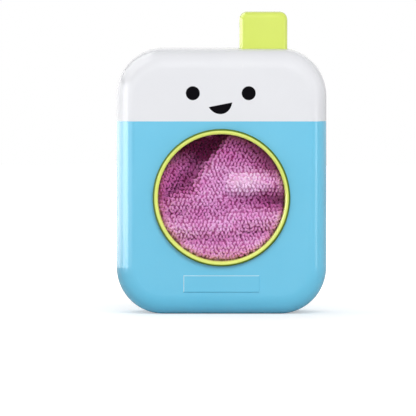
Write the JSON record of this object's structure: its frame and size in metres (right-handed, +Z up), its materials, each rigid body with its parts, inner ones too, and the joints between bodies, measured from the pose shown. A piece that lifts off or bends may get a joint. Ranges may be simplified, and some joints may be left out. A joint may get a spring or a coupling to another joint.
{
  "type": "washing machine bath toy",
  "caption": "Upright bath toy shaped like a front-loading washing machine: pressing the lever on top turns the open drum, which holds a small terry washcloth.",
  "frame": {"origin": "on the face that the toy stands on, under the middle of the body, in the plane where the two blue shells part", "axes": "+Z up towards the lever, -Y out of the front through the drum's mouth, +X to the right as seen from the front"},
  "size_m": [0.135, 0.076, 0.1937],
  "materials": {
    "blue_plastic": "smooth moulded, pale blue",
    "white_plastic": "smooth moulded, white",
    "lime_plastic": "smooth moulded, pale lime",
    "natural_plastic": "moulded, natural off-white",
    "steel": "plain stainless steel",
    "terry": "looped terry, purple"
  },
  "bodies": {
    "housing": {"front_shell": "blue_plastic", "rear_shell": "blue_plastic", "top_hood": "white_plastic", "gear_plate": "natural_plastic", "gear_cover": "natural_plastic", "drum_bush": "natural_plastic", "transfer_axle": "steel", "return_spring": "steel", "shell_screws": "steel", "plate_screws": "steel", "cover_screws": "steel", "hood_screws": "steel"},
    "drum_unit": {"drum": "lime_plastic", "drum_gear": "natural_plastic", "drum_washer": "steel", "drum_screw": "steel"},
    "transfer_unit": {"transfer_gear": "natural_plastic"},
    "lever_unit": {"push_lever": "lime_plastic", "rack_slide": "natural_plastic", "lever_screws": "steel"},
    "cloth": {"washcloth": "terry"}
  },
  "joints": [
    {"name": "drum_spin", "type": "hinge", "parent": "housing", "child": "drum_unit", "pos_m": [0, 0, 0.075], "axis": [0, -1, 0], "range_deg": [0, 286.4]},
    {"name": "lever_press", "type": "slide", "parent": "housing", "child": "lever_unit", "axis": [0, 0, -1], "range_m": [0, 0.02], "stiffness_N_per_m": 128, "springref_m": -0.0095, "deforming": ["return_spring"]},
    {"name": "transfer_spin", "type": "hinge", "parent": "housing", "child": "transfer_unit", "pos_m": [0.0154, 0, 0.10075], "axis": [0, 1, 0], "range_deg": [0, 143.3]},
    {"name": "washcloth_pull", "type": "slide", "parent": "drum_unit", "child": "cloth", "axis": [0, -1, 0], "range_m": [0, 0.06]}
  ],
  "couplings": [
    {"joint": "lever_press", "follows": "drum_spin", "m_per_rad": 0.004},
    {"joint": "transfer_spin", "follows": "drum_spin", "ratio": 0.5}
  ]
}
